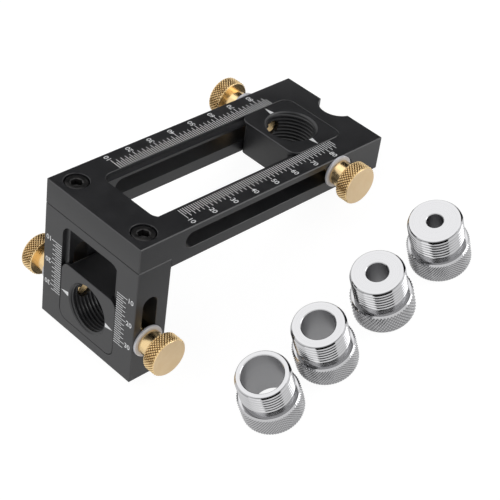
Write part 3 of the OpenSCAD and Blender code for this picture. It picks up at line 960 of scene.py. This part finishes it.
# The studio: a pale floor that keeps a faint shadow, three soft lights from behind, left and right, a black
# card above the camera and a wide black flag at the back right, which the steel and the long frame
# mirror, and the camera.
CAMERA_PLACE = Vector((-170.886, -288.1, 452.2)) * MM
CAMERA_AZIMUTH = radians(-30.39)
CAMERA_HEIGHT = radians(52.711)
CAMERA_ROLL = radians(-17.294)
CAMERA_LENS = 109.85
CAMERA_FILM = 36
CAMERA_RANGE = (0.02, 20)
AMBIENT = 0.7
FLOOR_HALF = 1.6
FLOOR_SHADOW = 0.2
FLOOR_MIRRORED = 0.4
FLOOR_LIT = 0.5
FLOOR_GLOW = 1.16
PAPER = (0.88, 0.88, 0.88, 1)
PLAIN_WHITE = (1, 1, 1, 1)
CARD_BLACK = (0.01, 0.01, 0.01, 1)
CARD_REACH = 0.6
CARD_SIZE = (0.46, 0.34)
CARD_HEIGHT = radians(66)
FLAG_REACH = 0.75
FLAG_SIZE = (1.35, 0.62)
FLAG_AZIMUTH = radians(123)
FLAG_HEIGHT = radians(22)
LIGHTS = {   # azimuth and height in degrees, distance and width in metres, brightness
    "back_light": (149.6, 53, 0.95, 0.8, 0.5),
    "left_light": (-88, 58, 1.0, 0.55, 0.6),
    "right_light": (50, 16, 1.0, 0.5, 1.5),
}


def heading(azimuth, height):
    """Direction towards a place on the studio's dome."""
    return Vector((sin(azimuth) * cos(height), -cos(azimuth) * cos(height), sin(height)))


def seen_as(tree, plain, mirrored, lit=0.0):
    """One level for what the camera sees, another for what metal or glass mirrors of it, a third for the
    light that it throws on the pieces."""
    path = node(tree, "ShaderNodeLightPath")
    mirror = calc(tree, "MAXIMUM", path.outputs["Is Glossy Ray"], path.outputs["Is Transmission Ray"])
    seen = calc(tree, "MULTIPLY", path.outputs["Is Camera Ray"], plain)
    thrown = calc(tree, "MULTIPLY", path.outputs["Is Diffuse Ray"], lit)
    shown = calc(tree, "MULTIPLY", mirror, mirrored)
    return calc(tree, "MAXIMUM", calc(tree, "MAXIMUM", seen, thrown), shown)


def sheet_at(name, size, centre, facing, material):
    """A flat sheet for the studio, facing a direction."""
    half_w, half_h = size[0] / 2, size[1] / 2
    corners = [(-half_w, -half_h, 0), (half_w, -half_h, 0), (half_w, half_h, 0), (-half_w, half_h, 0)]
    mesh = bpy.data.meshes.new(name)
    mesh.from_pydata(corners, [], [range(len(corners))])
    mesh.transform(Matrix.Translation(centre) @ facing.to_track_quat("Z", "Y").to_matrix().to_4x4())
    mesh.materials.append(material)
    sheet = bpy.data.objects.new(name, mesh)
    bpy.context.scene.collection.objects.link(sheet)
    return sheet


def floor_material():
    material, tree = new_material("studio_floor")
    paper = node(tree, "ShaderNodeBsdfDiffuse", {"Color": PAPER})
    glow = node(tree, "ShaderNodeEmission", {"Color": PLAIN_WHITE, "Strength": FLOOR_GLOW})
    share = seen_as(tree, 1 - FLOOR_SHADOW, FLOOR_MIRRORED, FLOOR_LIT)
    mixed = node(tree, "ShaderNodeMixShader", {0: share, 1: paper.outputs[0], 2: glow.outputs[0]})
    node(tree, "ShaderNodeOutputMaterial", {"Surface": mixed.outputs[0]})
    return material


def card_material():
    material, tree = new_material("black_card")
    board = node(tree, "ShaderNodeBsdfDiffuse", {"Color": CARD_BLACK})
    node(tree, "ShaderNodeOutputMaterial", {"Surface": board.outputs[0]})
    return material


def soft_light(name, azimuth, height, distance, size, brightness):
    """A square soft light that looks at the middle of the floor; it looks white at brightness 1."""
    light = bpy.data.lights.new(name, "AREA")
    light.shape, light.size = "SQUARE", size
    light.energy = brightness * pi * size * size
    lamp = bpy.data.objects.new(name, light)
    lamp.location = heading(azimuth, height) * distance
    lamp.rotation_mode = "QUATERNION"
    lamp.rotation_quaternion = heading(azimuth, height).to_track_quat("Z", "Y")
    bpy.context.scene.collection.objects.link(lamp)


sheet_at("floor", (2 * FLOOR_HALF, 2 * FLOOR_HALF), Vector((0, 0, 0)), Vector((0, 0, 1)), floor_material())
black = card_material()
for name, azimuth, height, reach, size in [
        ("card", CAMERA_AZIMUTH, CARD_HEIGHT, CARD_REACH, CARD_SIZE),
        ("flag", FLAG_AZIMUTH, FLAG_HEIGHT, FLAG_REACH, FLAG_SIZE)]:
    way = heading(azimuth, height)
    sheet_at(name, size, way * reach, -way, black).visible_camera = False

world = bpy.data.worlds.new("studio")
bpy.context.scene.world = world
world.use_nodes = True
world.node_tree.nodes.clear()
level = calc(world.node_tree, "MAXIMUM", seen_as(world.node_tree, 1, 1), AMBIENT)
dome = node(world.node_tree, "ShaderNodeBackground", {"Color": PLAIN_WHITE, "Strength": level})
node(world.node_tree, "ShaderNodeOutputWorld", {"Surface": dome.outputs[0]})
for name, (azimuth, height, distance, width, brightness) in LIGHTS.items():
    soft_light(name, radians(azimuth), radians(height), distance, width, brightness)

camera = bpy.data.objects.new("camera", bpy.data.cameras.new("camera"))
bpy.context.scene.collection.objects.link(camera)
camera.matrix_world = (
    Matrix.Translation(CAMERA_PLACE) @ Matrix.Rotation(CAMERA_AZIMUTH, 4, "Z")
    @ Matrix.Rotation(pi / 2 - CAMERA_HEIGHT, 4, "X") @ Matrix.Rotation(CAMERA_ROLL, 4, "Z"))
camera.data.lens, camera.data.sensor_width = CAMERA_LENS, CAMERA_FILM
camera.data.clip_start, camera.data.clip_end = CAMERA_RANGE
bpy.context.scene.camera = camera
bpy.context.scene.view_settings.view_transform = "Standard"
